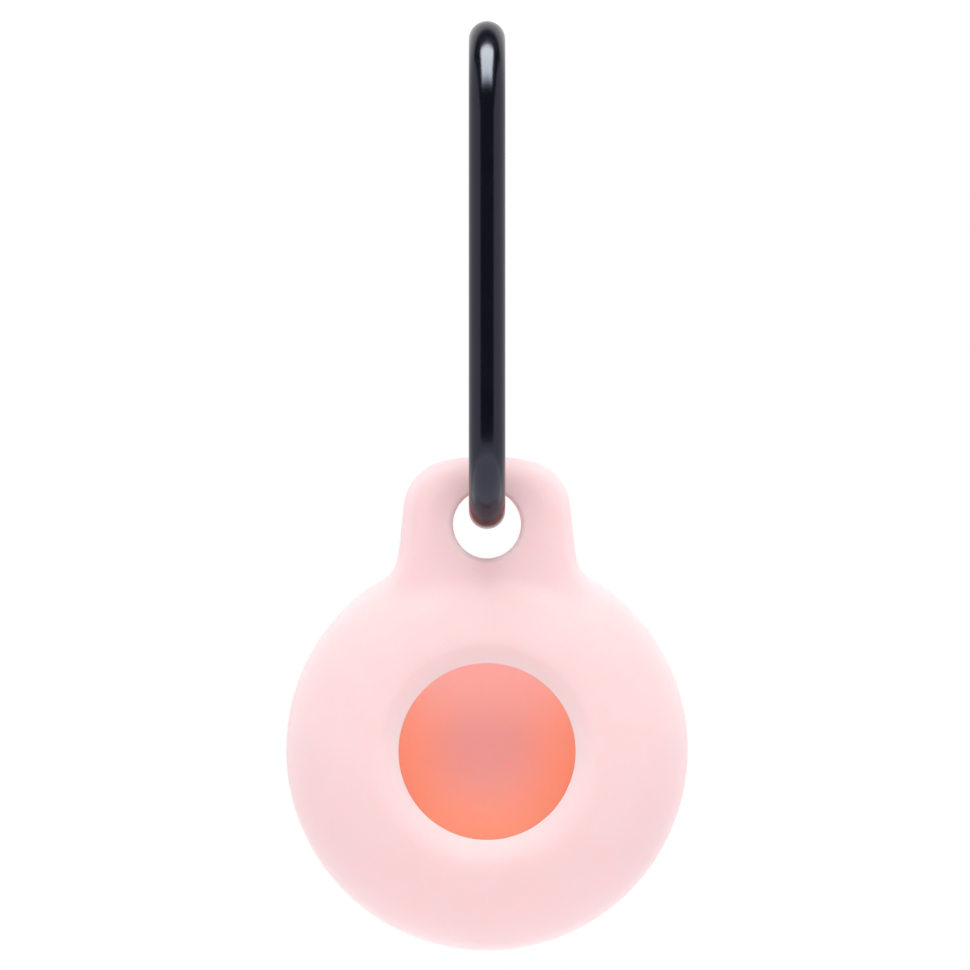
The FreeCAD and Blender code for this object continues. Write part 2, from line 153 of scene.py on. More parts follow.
@dataclass(frozen=True)
class Finish:
    """What every finish has: a name, and a roughness that varies a little over the surface."""

    name: str
    roughness: float
    roughness_spread: float

    def shade(
        self, tree: bpy.types.NodeTree, pattern: bpy.types.NodeSocket, looks: dict[str, NodeInput]
    ) -> None:
        """Ends a material's tree with its shader and its output.

        Args:
            tree: the material's node tree.
            pattern: the pattern that the roughness follows.
            looks: the shader's other inputs.
        """
        rough = add_node(
            tree,
            "ShaderNodeMapRange",
            {
                "Value": pattern,
                "To Min": self.roughness - self.roughness_spread,
                "To Max": self.roughness + self.roughness_spread,
            },
        )
        shader = add_node(
            tree, "ShaderNodeBsdfPrincipled", {"Roughness": rough.outputs["Result"], **looks}
        )
        add_node(tree, "ShaderNodeOutputMaterial", {"Surface": shader.outputs["BSDF"]})


@dataclass(frozen=True)
class MouldedSilicone(Finish):
    """Pigmented silicone rubber, moulded against a finely blasted tool.

    It is translucent, so light that enters wanders for some millimetres before it leaves. Light is also
    painted into its
    colour: a paler painted glow where the skin turns away at the rim and on the mouth's thin lip, and a
    deeper tone over the solid tab, partly for its thicker silicone and partly as painted shade from the
    carabiner. The blasted tool leaves a satin skin with no mirror gloss, and the two halves of the mould
    leave a hair-fine line where they met. The skin's grain and that line are drawn coarser than real ones,
    so that they show.
    """

    name: str = "moulded_silicone_satin_pink"
    colour: str = "#FBDADB"
    deep_colour: str = "#F9D4D5"
    # Painted glow: a paler tone added where the skin turns away at the rim.
    painted_rim_glow: Colour = (0.01, 0.045, 0.052, 0.0)
    painted_rim_glow_facing: Span = (0.85, 0.6)
    # Painted glow: a paler tone on the mouth's thin lip, round the lip's centre.
    painted_lip_glow_colour: str = "#FFDBDC"
    painted_lip_glow_centre: Triple = (0.0, 0.0, 0.0)
    painted_lip_glow_span: Span = (10.8, 9.4)
    # Deeper over the tab: partly the thicker silicone, partly painted shade from the carabiner.
    tab_tone_and_shade_colour: str = "#FAD3D5"
    tab_tone_and_shade_span: Span = (-54.5, -51.0)
    cloud_size: float = 5.0
    cloud_detail: float = 2.0
    skin_grain: float = 0.35
    skin_relief: float = 0.004
    skin_detail: float = 3.0
    line_width: float = 0.16
    line_relief: float = 0.02
    roughness: float = 0.55
    roughness_spread: float = 0.05
    scatter_depth: float = 1.0
    scatter_share: Triple = (1.1, 0.75, 0.7)
    sheen: float = 0.15
    sheen_roughness: float = 0.4
    ior: float = 1.41

    def material(self) -> bpy.types.Material:
        """Builds the material.

        Returns:
            The finished material.
        """
        material, tree = new_material(self.name)
        place = add_node(tree, "ShaderNodeTexCoord").outputs["Object"]
        clouds = add_node(
            tree,
            "ShaderNodeTexNoise",
            {"Vector": place, "Scale": 1 / (self.cloud_size * MM), "Detail": self.cloud_detail},
        ).outputs["Fac"]
        colour = add_node(
            tree,
            "ShaderNodeMix",
            {"Factor": clouds, "A": linear(self.colour), "B": linear(self.deep_colour)},
            data_type="RGBA",
        )
        grain = add_node(
            tree,
            "ShaderNodeTexNoise",
            {"Vector": place, "Scale": 1 / (self.skin_grain * MM), "Detail": self.skin_detail},
        ).outputs["Fac"]
        depth = add_node(tree, "ShaderNodeSeparateXYZ", {"Vector": place}).outputs["Y"]
        from_line = add_node(tree, "ShaderNodeMath", {0: depth}, operation="ABSOLUTE").outputs["Value"]
        line = add_node(
            tree,
            "ShaderNodeMapRange",
            {
                "Value": from_line,
                "From Min": 0.0,
                "From Max": self.line_width / 2 * MM,
                "To Min": self.line_relief / self.skin_relief,
                "To Max": 0.0,
            },
            interpolation_type="SMOOTHSTEP",
        ).outputs["Result"]
        height = add_node(tree, "ShaderNodeMath", {0: grain, 1: line}, operation="ADD")
        bump = add_node(
            tree,
            "ShaderNodeBump",
            {"Height": height.outputs["Value"], "Distance": self.skin_relief * MM, "Strength": 1.0},
        )
        base, scattered = self.link_colour(tree, colour, place)
        looks = {
            "Base Color": base,
            "Normal": bump.outputs["Normal"],
            "IOR": self.ior,
            "Subsurface Weight": scattered,
            "Subsurface Radius": self.scatter_share,
            "Subsurface Scale": self.scatter_depth * MM,
            "Sheen Weight": self.sheen,
            "Sheen Roughness": self.sheen_roughness,
        }
        self.shade(tree, clouds, looks)
        return material

    def link_colour(
        self, tree: bpy.types.NodeTree, colour: bpy.types.Node, place: bpy.types.NodeSocket
    ) -> tuple[bpy.types.NodeSocket, bpy.types.NodeSocket | float]:
        """Paints glow at the rim and the mouth's thin lip, and deepens the solid tab, partly as painted
        shade.

        Args:
            tree: the material's node tree.
            colour: the clouded colour of the faces.
            place: the point in the object's coordinates.

        Returns:
            The socket of the finished colour, and the share of light that scatters inside.
        """
        # The rim is where the skin turns away from the front and the back; the paler tone added there is
        # painted glow.
        outward = add_node(tree, "ShaderNodeTexCoord").outputs["Normal"]
        facing = add_node(tree, "ShaderNodeSeparateXYZ", {"Vector": outward}).outputs["Y"]
        squarely = add_node(tree, "ShaderNodeMath", {0: facing}, operation="ABSOLUTE").outputs["Value"]
        turned = add_node(
            tree,
            "ShaderNodeMapRange",
            {"Value": squarely, "From Min": self.painted_rim_glow_facing[0], "From Max": self.painted_rim_glow_facing[1]},
            interpolation_type="SMOOTHSTEP",
        ).outputs["Result"]
        height = add_node(tree, "ShaderNodeSeparateXYZ", {"Vector": place}).outputs["Z"]
        centre = tuple(side * MM for side in self.painted_lip_glow_centre)
        reach = add_node(tree, "ShaderNodeVectorMath", {0: place, 1: centre}, operation="DISTANCE")
        lip, solid = (
            add_node(
                tree,
                "ShaderNodeMapRange",
                {"Value": value, "From Min": span[0] * MM, "From Max": span[1] * MM},
                interpolation_type="SMOOTHSTEP",
            ).outputs["Result"]
            for value, span in ((reach.outputs["Value"], self.painted_lip_glow_span), (height, self.tab_tone_and_shade_span))
        )
        # The lip's and the rim's tints are painted glow; the tab's deeper tone is partly painted shade.
        for share, tint, blend in (
            (lip, linear(self.painted_lip_glow_colour), "MIX"),
            (solid, linear(self.tab_tone_and_shade_colour), "MIX"),
            (turned, self.painted_rim_glow, "ADD"),
        ):
            colour = add_node(
                tree,
                "ShaderNodeMix",
                {"Factor": share, "A": colour.outputs["Result"], "B": tint},
                data_type="RGBA",
                blend_type=blend,
            )
        return colour.outputs["Result"], 1.0


@dataclass(frozen=True)
class PocketSilicone(MouldedSilicone):
    """The same silicone on the pocket's side, where light has crossed the walls.

    Each crossing takes out blue and green. The inside's coral is painted glow that stands for this light:
    orange near the mouth's edge, where light comes in through the thick rim, paler towards the top, and
    duller in the middle of the thin back wall, which also scatters less.
    """

    name: str = "moulded_silicone_pocket_painted_glow"
    colour: str = "#E4B9BE"
    deep_colour: str = "#E2B6B9"
    # Painted glow: orange towards the mouth's edge and paler towards the top.
    painted_edge_glow_colour: str = "#FFB6A9"
    painted_upper_glow_colour: str = "#FFC9CC"
    glow_radius: float = 8.8
    glow_start: float = 0.15
    centre_z: float = 0.0
    middle_scatter: float = 0.76
    scatter_depth: float = 24.0
    scatter_share: Triple = (1.0, 0.22, 0.18)
    sheen: float = 0.0

    def link_colour(
        self, tree: bpy.types.NodeTree, colour: bpy.types.Node, place: bpy.types.NodeSocket
    ) -> tuple[bpy.types.NodeSocket, bpy.types.NodeSocket | float]:
        """Colours the wall by its distance from the pocket's axis and by its height.

        Args:
            tree: the material's node tree.
            colour: the clouded colour of the middle.
            place: the point in the object's coordinates.

        Returns:
            The socket of the finished colour, and the share of light that scatters inside.
        """
        centre = (0.0, 0.0, self.centre_z * MM)
        centred = add_node(
            tree, "ShaderNodeVectorMath", {0: place, 1: centre}, operation="SUBTRACT"
        ).outputs["Vector"]
        flat = add_node(
            tree, "ShaderNodeVectorMath", {0: centred, 1: (1.0, 0.0, 1.0)}, operation="MULTIPLY"
        )
        reach = add_node(tree, "ShaderNodeVectorMath", {0: flat.outputs["Vector"]}, operation="LENGTH")
        height = add_node(tree, "ShaderNodeSeparateXYZ", {"Vector": centred}).outputs["Z"]
        glow = self.glow_radius * MM
        rim = add_node(
            tree,
            "ShaderNodeMapRange",
            {"Value": reach.outputs["Value"], "From Min": self.glow_start * glow, "From Max": glow},
            interpolation_type="SMOOTHSTEP",
        ).outputs["Result"]
        upper = add_node(
            tree,
            "ShaderNodeMapRange",
            {"Value": height, "From Min": 0.0, "From Max": glow},
            interpolation_type="SMOOTHSTEP",
        ).outputs["Result"]
        # The orange edge and the paler top are painted glow.
        for share, tint in ((rim, self.painted_edge_glow_colour), (upper, self.painted_upper_glow_colour)):
            colour = add_node(
                tree,
                "ShaderNodeMix",
                {"Factor": share, "A": colour.outputs["Result"], "B": linear(tint)},
                data_type="RGBA",
            )
        scattered = add_node(
            tree, "ShaderNodeMapRange", {"Value": rim, "To Min": self.middle_scatter, "To Max": 1.0}
        )
        return colour.outputs["Result"], scattered.outputs["Result"]


@dataclass(frozen=True)
class EyeletSilicone(PocketSilicone):
    """The same silicone on the eyelet's wall, painted with a rosy glow that stands for light through the
    solid tab.
    """

    name: str = "moulded_silicone_eyelet_painted_glow"
    # Painted glow: rosy on the eyelet's wall.
    painted_edge_glow_colour: str = "#FFD2D5"
    painted_upper_glow_colour: str = "#FFD2D5"
    glow_radius: float = 3.4


@dataclass(frozen=True)
class BlackAnodised(Finish):
    """Drawn aluminium bar, bead-blasted lightly, anodised black and sealed.

    The dyed oxide layer is nearly black with a cold cast, and its sealed face mirrors a few hundredths of
    the light, more towards the bar's sides. Fine blasting pits soften the mirror a little. They are drawn
    coarser than real ones, so that they show.
    """

    name: str = "black_anodised_aluminium_sealed"
    colour: str = "#0B0C13"
    worn_colour: str = "#12141C"
    mirror_tint: Colour = (0.72, 0.73, 1.0, 1.0)
    cloud_size: float = 3.0
    cloud_detail: float = 3.0
    pit_size: float = 0.14
    pit_relief: float = 0.008
    pit_detail: float = 2.0
    roughness: float = 0.17
    roughness_spread: float = 0.03
    ior: float = 1.55

    def material(self) -> bpy.types.Material:
        """Builds the material.

        Returns:
            The finished material.
        """
        material, tree = new_material(self.name)
        place = add_node(tree, "ShaderNodeTexCoord").outputs["Object"]
        clouds = add_node(
            tree,
            "ShaderNodeTexNoise",
            {"Vector": place, "Scale": 1 / (self.cloud_size * MM), "Detail": self.cloud_detail},
        ).outputs["Fac"]
        colour = add_node(
            tree,
            "ShaderNodeMix",
            {"Factor": clouds, "A": linear(self.colour), "B": linear(self.worn_colour)},
            data_type="RGBA",
        )
        pits = add_node(
            tree,
            "ShaderNodeTexNoise",
            {"Vector": place, "Scale": 1 / (self.pit_size * MM), "Detail": self.pit_detail},
        ).outputs["Fac"]
        bump = add_node(
            tree, "ShaderNodeBump", {"Height": pits, "Distance": self.pit_relief * MM, "Strength": 1.0}
        )
        looks = {
            "Base Color": colour.outputs["Result"],
            "Normal": bump.outputs["Normal"],
            "IOR": self.ior,
            "Specular Tint": self.mirror_tint,
        }
        self.shade(tree, clouds, looks)
        return material


@dataclass(frozen=True)
class GroundSteel(Finish):
    """Stainless pin and spring wire, ground and tumbled.

    It is bright bare metal with a soft grey mirror and faint grinding marks round the pins, which are drawn
    coarser than real ones, so that they show.
    """

    name: str = "ground_stainless_steel"
    colour: str = "#B4B5B8"
    dull_colour: str = "#8F9196"
    mark_pitch: float = 0.12
    mark_stretch: Triple = (1.0, 0.2, 0.2)
    mark_detail: float = 2.0
    roughness: float = 0.3
    roughness_spread: float = 0.06

    def material(self) -> bpy.types.Material:
        """Builds the material.

        Returns:
            The finished material.
        """
        material, tree = new_material(self.name)
        place = add_node(tree, "ShaderNodeTexCoord").outputs["Object"]
        along = add_node(tree, "ShaderNodeMapping", {"Vector": place, "Scale": self.mark_stretch})
        marks = add_node(
            tree,
            "ShaderNodeTexNoise",
            {
                "Vector": along.outputs["Vector"],
                "Scale": 1 / (self.mark_pitch * MM),
                "Detail": self.mark_detail,
            },
        ).outputs["Fac"]
        colour = add_node(
            tree,
            "ShaderNodeMix",
            {"Factor": marks, "A": linear(self.colour), "B": linear(self.dull_colour)},
            data_type="RGBA",
        )
        self.shade(tree, marks, {"Base Color": colour.outputs["Result"], "Metallic": 1.0})
        return material


def start_line(name: str) -> bpy.types.Object:
    """Adds a mesh of one vertex at the origin and leaves it in edit mode, ready to be extruded.

    Args:
        name: the object's name.

    Returns:
        The new object.
    """
    bpy.ops.object.select_all(action="DESELECT")
    bpy.ops.mesh.primitive_plane_add(size=MM)
    piece = bpy.context.object
    piece.name = name
    piece.data.name = name
    bpy.ops.object.mode_set(mode="EDIT")
    bpy.ops.mesh.select_mode(type="VERT")
    bpy.ops.mesh.select_all(action="SELECT")
    bpy.ops.mesh.merge(type="CENTER")
    return piece


def extrude_along(points: list[Vector]) -> None:
    """Extrudes the selected vertex from one point to the next.

    Args:
        points: the line's points, in metres.
    """
    bpy.ops.transform.translate(value=points[0])
    for here, there in zip(points, points[1:]):
        bpy.ops.mesh.extrude_region_move(TRANSFORM_OT_translate={"value": there - here})


def select_edges(piece: bpy.types.Object, wanted: Callable[[list[Vector]], bool]) -> None:
    """Selects edges of the mesh in edit mode by their place.

    Args:
        piece: the object whose mesh is in edit mode.
        wanted: tells from the two ends of an edge whether it is selected.
    """
    bpy.ops.mesh.select_mode(type="EDGE")
    bpy.ops.mesh.select_all(action="DESELECT")
    bpy.ops.object.mode_set(mode="OBJECT")
    points = piece.data.vertices
    for edge in piece.data.edges:
        edge.select = wanted([points[i].co for i in edge.vertices])
    bpy.ops.object.mode_set(mode="EDIT")


def close_mesh() -> None:
    """Merges the doubles of the mesh in edit mode, turns its faces outwards and leaves edit mode."""
    bpy.ops.mesh.select_all(action="SELECT")
    bpy.ops.mesh.remove_doubles(threshold=MICRON)
    bpy.ops.mesh.normals_make_consistent(inside=False)
    bpy.ops.object.mode_set(mode="OBJECT")


def turned_piece(name: str, profile: list[Point], height: float, steps: int) -> bpy.types.Object:
    """Spins a profile about an axis along Y.

    Args:
        name: the object's name.
        profile: radius and Y of each point in millimetres, from axis to axis.
        height: Z of the axis in metres.
        steps: how many steps the spin has.

    Returns:
        The turned closed mesh.
    """
    piece = start_line(name)
    extrude_along([Vector((radius * MM, depth * MM, height)) for radius, depth in profile])
    bpy.ops.mesh.select_all(action="SELECT")
    bpy.ops.mesh.spin(steps=steps, angle=math.tau, center=(0, 0, height), axis=(0, 1, 0))
    close_mesh()
    return piece


def arc_points(centre: Point, radius: float, start: float, end: float, count: int) -> list[Point]:
    """Points along an arc.

    Args:
        centre: the arc's centre.
        radius: the arc's radius.
        start: angle of the first point in radians.
        end: angle of the last point in radians.
        count: number of steps between them.

    Returns:
        The points, both ends among them.
    """
    angles = [start + (end - start) * i / count for i in range(count + 1)]
    return [(centre[0] + radius * math.cos(a), centre[1] + radius * math.sin(a)) for a in angles]


def combine(piece: bpy.types.Object, tool: bpy.types.Object, how: Cut) -> None:
    """Joins a tool to a piece or cuts it away, and deletes the tool.

    Args:
        piece: the object that stays.
        tool: the object that acts on it.
        how: whether it is joined or removed.
    """
    modifier = piece.modifiers.new(how.name.lower(), "BOOLEAN")
    modifier.object = tool
    modifier.operation = how.value
    modifier.solver = "EXACT"
    apply_modifier(piece, modifier)
    bpy.data.objects.remove(tool)


def apply_modifier(piece: bpy.types.Object, modifier: bpy.types.Modifier) -> None:
    """Makes a piece the only selected object and applies one of its modifiers.

    Args:
        piece: the object.
        modifier: its modifier, whose values are set.
    """
    bpy.ops.object.select_all(action="DESELECT")
    piece.select_set(True)
    bpy.context.view_layer.objects.active = piece
    bpy.ops.object.modifier_apply(modifier=modifier.name)


def smooth_ramp(value: float, low: float, high: float) -> float:
    """Rises softly from 0 at the low value to 1 at the high one."""
    share = min(max((value - low) / (high - low), 0.0), 1.0)
    return share * share * (3 - 2 * share)


@dataclass
class SiliconeSleeve:
    """The moulded sleeve: a round body with a pocket and a mouth, and a tab with an eyelet.

    Angles are in degrees, and the root's sweep is its arc's length over its radius. The steps are those of
    the arcs and runs in its profiles and outline. The root of the tab is smoothed more than the skin: fully
    between the two spans from the body's axis, and fading out over a third to each side.
    """

    node: str = "silicone_sleeve"
    body_radius: float = 20.0
    body_depth: float = 5.7
    rim_radius: float = 2.6
    rim_steps: int = 16
    flat_radius: float = 10.0
    dome_steps: int = 60
    mouth_radius: float = 8.75
    lip_depth: float = 4.75
    cove_bend: float = 10.0
    cove_end: float = 11.2
    pocket_radius: float = 16.05
    pocket_depth: float = 4.1
    pocket_corner: float = 3.0
    pocket_corner_steps: int = 10
    pocket_floor_steps: int = 8
    wall_slack: float = 0.02
    tab_half_width: float = 7.95
    tab_half_depth: float = 3.4
    tab_edge: float = 3.0
    tab_edge_steps: int = 10
    tab_flare: float = 6.0
    crown_radius: float = 20.0
    crown_steps: int = 8
    corner_radius: float = 5.0
    neck_radius: float = 6.0
    corner_steps: int = 12
    root_radius: float = 19.22
    root_sweep: float = 0.3
    root_steps: int = 6
    root_comes_in: Span = (15.5, 17.5)
    root_goes_out: Span = (19.4, 21.0)
    root_sides: Span = (9.5, 13.0)
    root_rounds: int = 120
    skin_rounds: int = 10
    round_share: float = 0.5
    eyelet_radius: float = 3.4
    eyelet_edge: float = 0.4
    eyelet_edge_turn: float = 70.0
    eyelet_edge_steps: int = 6
    eyelet_flare: float = 50.0
    eyelet_below_top: float = 6.8
    turn_steps: int = 192
    voxel: float = 0.28
    skin: MouldedSilicone = field(init=False)
    inside: PocketSilicone = field(init=False)
    bore: EyeletSilicone = field(init=False)

    def __post_init__(self) -> None:
        """Finds the heights from the frame, centres the finishes there and works out the dome's curve."""
        low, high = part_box(self.node)
        self.body_z = low.z / MM + self.body_radius
        self.top_z = high.z / MM
        self.eyelet_z = self.top_z - self.eyelet_below_top
        self.skin = MouldedSilicone(painted_lip_glow_centre=(0.0, -self.body_depth, self.body_z))
        self.inside = PocketSilicone(centre_z=self.body_z)
        self.bore = EyeletSilicone(centre_z=self.eyelet_z)
        self.rim_centre = self.body_radius - self.rim_radius
        span = self.rim_centre - self.flat_radius
        rise = self.body_depth - self.rim_radius
        self.dome_radius = (span**2 + self.body_depth**2 - self.rim_radius**2) / (2 * rise)
        self.rim_turn = math.asin(span / (self.dome_radius - self.rim_radius))

    def dome_depth(self, radius: float) -> float:
        """Depth of the domed face at a radius."""
        beyond = max(radius - self.flat_radius, 0.0)
        return self.body_depth - self.dome_radius + math.sqrt(self.dome_radius**2 - beyond**2)

    def cove_sink(self, radius: float) -> float:
        """How far the ring round the mouth lies below the face: a cone that bends softly into the face.

        Args:
            radius: distance from the body's axis.

        Returns:
            The depth in millimetres, 0 beyond the ring.
        """
        bend = self.cove_end - self.cove_bend
        slope = (self.body_depth - self.lip_depth) / (self.cove_bend - self.mouth_radius + bend / 2)
        if radius < self.cove_bend:
            return slope * (self.cove_bend - max(radius, self.mouth_radius) + bend / 2)
        return slope * max(self.cove_end - radius, 0.0) ** 2 / (2 * bend)

    def body_profile(self) -> list[Point]:
        """The body's outer profile from the front of its axis round the rim to the back.

        Returns:
            Radius and Y of each point in millimetres.
        """
        dome_end = self.flat_radius + self.dome_radius * math.sin(self.rim_turn)
        radii = [dome_end * i / self.dome_steps for i in range(self.dome_steps)]
        front = [(radius, self.cove_sink(radius) - self.dome_depth(radius)) for radius in radii]
        around = math.pi / 2 - self.rim_turn
        rim = arc_points((self.rim_centre, 0.0), self.rim_radius, -around, around, self.rim_steps)
        back = [(radius, self.dome_depth(radius)) for radius in reversed(radii)]
        return front + rim + back

    def hollow_profile(self) -> list[Point]:
        """The profile of the tag's pocket and of the mouth in front of it.

        Returns:
            Radius and Y of each point in millimetres.
        """
        corner = self.pocket_radius - self.pocket_corner
        deep = self.pocket_depth - self.pocket_corner
        quarter = math.pi / 2
        back = arc_points((corner, deep), self.pocket_corner, quarter, 0.0, self.pocket_corner_steps)
        front = arc_points((corner, -deep), self.pocket_corner, 0.0, -quarter, self.pocket_corner_steps)
        steps = self.pocket_floor_steps
        floor = [(corner * i / steps, self.pocket_depth) for i in range(steps)]
        outside = -2 * self.body_depth
        mouth = [(self.mouth_radius, -self.pocket_depth), (self.mouth_radius, outside), (0.0, outside)]
        return floor + back + front + mouth

    def eyelet_profile(self) -> list[Point]:
        """The profile of the eyelet, with its edges rounded at both faces of the tab.

        Returns:
            Radius and Y of each point in millimetres.
        """
        wide = self.eyelet_radius + self.eyelet_edge
        straight = self.tab_half_depth - self.eyelet_edge
        turn = math.radians(self.eyelet_edge_turn)
        steps = self.eyelet_edge_steps
        front = arc_points((wide, -straight), self.eyelet_edge, math.pi + turn, math.pi, steps)
        back = arc_points((wide, straight), self.eyelet_edge, math.pi, math.pi - turn, steps)
        beyond = self.body_depth - straight
        outer = self.eyelet_radius + beyond * math.tan(math.radians(self.eyelet_flare))
        ends = [(0.0, -self.body_depth), (outer, -self.body_depth)]
        return ends + front + back + [(x, -y) for x, y in reversed(ends)]

    def tab_outline(self) -> list[Point]:
        """The right half of the tab's outline, from the middle of its crown down into the body.

        Returns:
            X and Z of each point in millimetres.
        """
        sag = self.crown_radius - math.sqrt(self.crown_radius**2 - self.tab_half_width**2)
        shoulder = Vector((self.tab_half_width, self.top_z - sag))
        flare = math.radians(self.tab_flare)
        down = Vector((math.sin(flare), -math.cos(flare)))
        inward = Vector((-math.cos(flare), -math.sin(flare)))
        crown_centre = Vector((0.0, self.top_z - self.crown_radius))
        body_centre = Vector((0.0, self.body_z))

        def centre_of(offset: float, around: Vector, reach: float) -> Vector:
            """Centre of a fillet between the tab's flank and another circle.

            Args:
                offset: how far inside the flank the centre lies.
                around: the other circle's centre.
                reach: the distance between the two centres.

            Returns:
                The upper one of the two centres that fit.
            """
            start = shoulder + inward * offset - around
            along = start.dot(down)
            root = math.sqrt(along**2 - start.length_squared + reach**2)
            return max((around + start + down * (t - along) for t in (root, -root)), key=lambda c: c.y)

        corner = centre_of(self.corner_radius, crown_centre, self.crown_radius - self.corner_radius)
        neck = centre_of(-self.neck_radius, body_centre, self.root_radius + self.neck_radius)
        crown_turn = math.atan2(*(corner - crown_centre))
        top = math.pi / 2
        crown_end = top - crown_turn
        crown = arc_points(tuple(crown_centre), self.crown_radius, top, crown_end, self.crown_steps)
        round_corner = arc_points(tuple(corner), self.corner_radius, crown_end, flare, self.corner_steps)
        to_body = body_centre - neck
        neck_end = math.atan2(to_body.y, to_body.x) + math.tau
        round_neck = arc_points(tuple(neck), self.neck_radius, math.pi + flare, neck_end, self.corner_steps)
        root_start = math.atan2(-to_body.y, -to_body.x)
        root_end = root_start - self.root_sweep
        root = arc_points(tuple(body_centre), self.root_radius, root_start, root_end, self.root_steps)
        inside = [(self.flat_radius, self.body_z + self.flat_radius / 2)]
        return crown + round_corner[1:] + round_neck + root[1:] + inside

    def build_tab(self) -> bpy.types.Object:
        """Makes the tab as a plate with rounded edges, whose root lies in the body.

        Returns:
            The plate.
        """
        half = self.tab_outline()
        outline = half + [(-x, z) for x, z in reversed(half[1:])]
        plate = start_line("tab_plate")
        front = -self.tab_half_depth * MM
        extrude_along([Vector((x * MM, front, z * MM)) for x, z in outline])
        bpy.ops.mesh.select_all(action="SELECT")
        bpy.ops.mesh.edge_face_add()
        bpy.ops.mesh.extrude_region_move(TRANSFORM_OT_translate={"value": (0, -2 * front, 0)})
        hidden = (self.body_z + self.flat_radius) * MM

        def on_outline(ends: list[Vector]) -> bool:
            """True for an edge of the front or back face that shows."""
            return abs(ends[0].y - ends[1].y) < MICRON and min(end.z for end in ends) > hidden

        select_edges(plate, on_outline)
        bpy.ops.mesh.bevel(
            offset=self.tab_edge * MM, segments=self.tab_edge_steps, affect="EDGES", clamp_overlap=False
        )
        close_mesh()
        return plate

    def soften_root(self, piece: bpy.types.Object) -> None:
        """Smooths the skin, and the root of the tab more, so that tab and body run into each other.

        Args:
            piece: the remeshed sleeve.
        """
        group = piece.vertex_groups.new(name="tab_root")
        for vertex in piece.data.vertices:
            across = vertex.co.x / MM
            up = vertex.co.z / MM - self.body_z
            reach = math.hypot(across, up)
            weight = smooth_ramp(reach, *self.root_comes_in) * (1 - smooth_ramp(reach, *self.root_goes_out))
            weight *= 1 - smooth_ramp(abs(across), *self.root_sides)
            if up > 0 and weight > 0:
                group.add([vertex.index], weight, "REPLACE")
        for name, rounds, where in (("root", self.root_rounds, group.name), ("skin", self.skin_rounds, "")):
            modifier = piece.modifiers.new(name, "SMOOTH")
            modifier.factor = self.round_share
            modifier.iterations = rounds
            modifier.vertex_group = where
            apply_modifier(piece, modifier)
        piece.vertex_groups.clear()

    def build(self) -> bpy.types.Object:
        """Models the sleeve and puts it on its body.

        Returns:
            The finished sleeve.
        """
        axis = self.body_z * MM
        piece = turned_piece("sleeve", self.body_profile(), axis, self.turn_steps)
        combine(piece, self.build_tab(), Cut.JOIN)
        remesh = piece.modifiers.new("even_skin", "REMESH")
        remesh.mode = "VOXEL"
        remesh.voxel_size = self.voxel * MM
        apply_modifier(piece, remesh)
        self.soften_root(piece)
        combine(piece, turned_piece("hollow", self.hollow_profile(), axis, self.turn_steps), Cut.REMOVE)
        eyelet = turned_piece("eyelet", self.eyelet_profile(), self.eyelet_z * MM, self.turn_steps // 2)
        combine(piece, eyelet, Cut.REMOVE)
        bpy.ops.object.mode_set(mode="EDIT")
        close_mesh()
        bpy.ops.object.shade_smooth_by_angle(angle=SHARP_TURN)
        self.dress(piece)
        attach(piece, Body.SLEEVE.value)
        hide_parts(self.node)
        return piece

    def dress(self, piece: bpy.types.Object) -> None:
        """Gives the sleeve its skin, and the walls of the pocket and the eyelet their painted glow.

        Args:
            piece: the finished mesh.
        """
        piece.data.materials.clear()
        finishes = (self.skin, self.inside, self.bore)
        for finish in finishes:
            piece.data.materials.append(finish.material())
        # A face is part of the pocket's wall when its centre lies no further out than the slack.
        pocket_reach = self.pocket_radius + self.wall_slack
        pocket_end = self.pocket_depth + self.wall_slack
        for face in piece.data.polygons:
            across, deep, height = (side / MM for side in face.center)
            if math.hypot(across, height - self.body_z) < pocket_reach and abs(deep) < pocket_end:
                face.material_index = finishes.index(self.inside)
            elif math.hypot(across, height - self.eyelet_z) < self.eyelet_radius + self.eyelet_edge:
                face.material_index = finishes.index(self.bore)


@dataclass
class GateSpring:
    """The coil spring in the gate's bore, which the plunger squeezes as the gate opens."""

    node: str = "gate_spring"
    wire: float = 0.3
    turns: int = 9
    wire_sides: int = 16
    turn_steps: int = 24
    joint: str = "plunger_slide"

    def build(self, steel: bpy.types.Material) -> bpy.types.Object:
        """Winds the wire, closes its ends and puts the spring on the gate.

        Args:
            steel: the wire's material.

        Returns:
            The finished spring.
        """
        low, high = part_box(self.node)
        wire = self.wire * MM
        axis = (low + high) / 2
        bpy.ops.object.select_all(action="DESELECT")
        bpy.ops.mesh.primitive_circle_add(
            vertices=self.wire_sides,
            radius=wire / 2,
            location=(axis.x, axis.y, low.z + wire / 2),
            rotation=(math.pi / 2, 0.0, 0.0),
        )
        piece = bpy.context.object
        piece.name = piece.data.name = "closing_spring"
        bpy.ops.object.transform_apply(location=False, rotation=True, scale=False)
        bpy.ops.object.mode_set(mode="EDIT")
        bpy.ops.mesh.select_all(action="SELECT")
        bpy.ops.transform.translate(value=(high.x - axis.x - wire / 2, 0.0, 0.0))
        bpy.ops.object.mode_set(mode="OBJECT")
        winding = piece.modifiers.new("winding", "SCREW")
        winding.screw_offset = (high.z - low.z - wire) / self.turns
        winding.iterations = self.turns
        winding.steps = winding.render_steps = self.turn_steps
        apply_modifier(piece, winding)
        bpy.ops.object.transform_apply()
        bpy.ops.object.mode_set(mode="EDIT")
        bpy.ops.mesh.select_all(action="SELECT")
        bpy.ops.mesh.fill_holes(sides=0)
        close_mesh()
        bpy.ops.object.shade_smooth_by_angle(angle=SHARP_TURN)
        piece.data.materials.append(steel)
        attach(piece, Body.GATE.value)
        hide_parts(self.node)
        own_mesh(piece)
        return piece


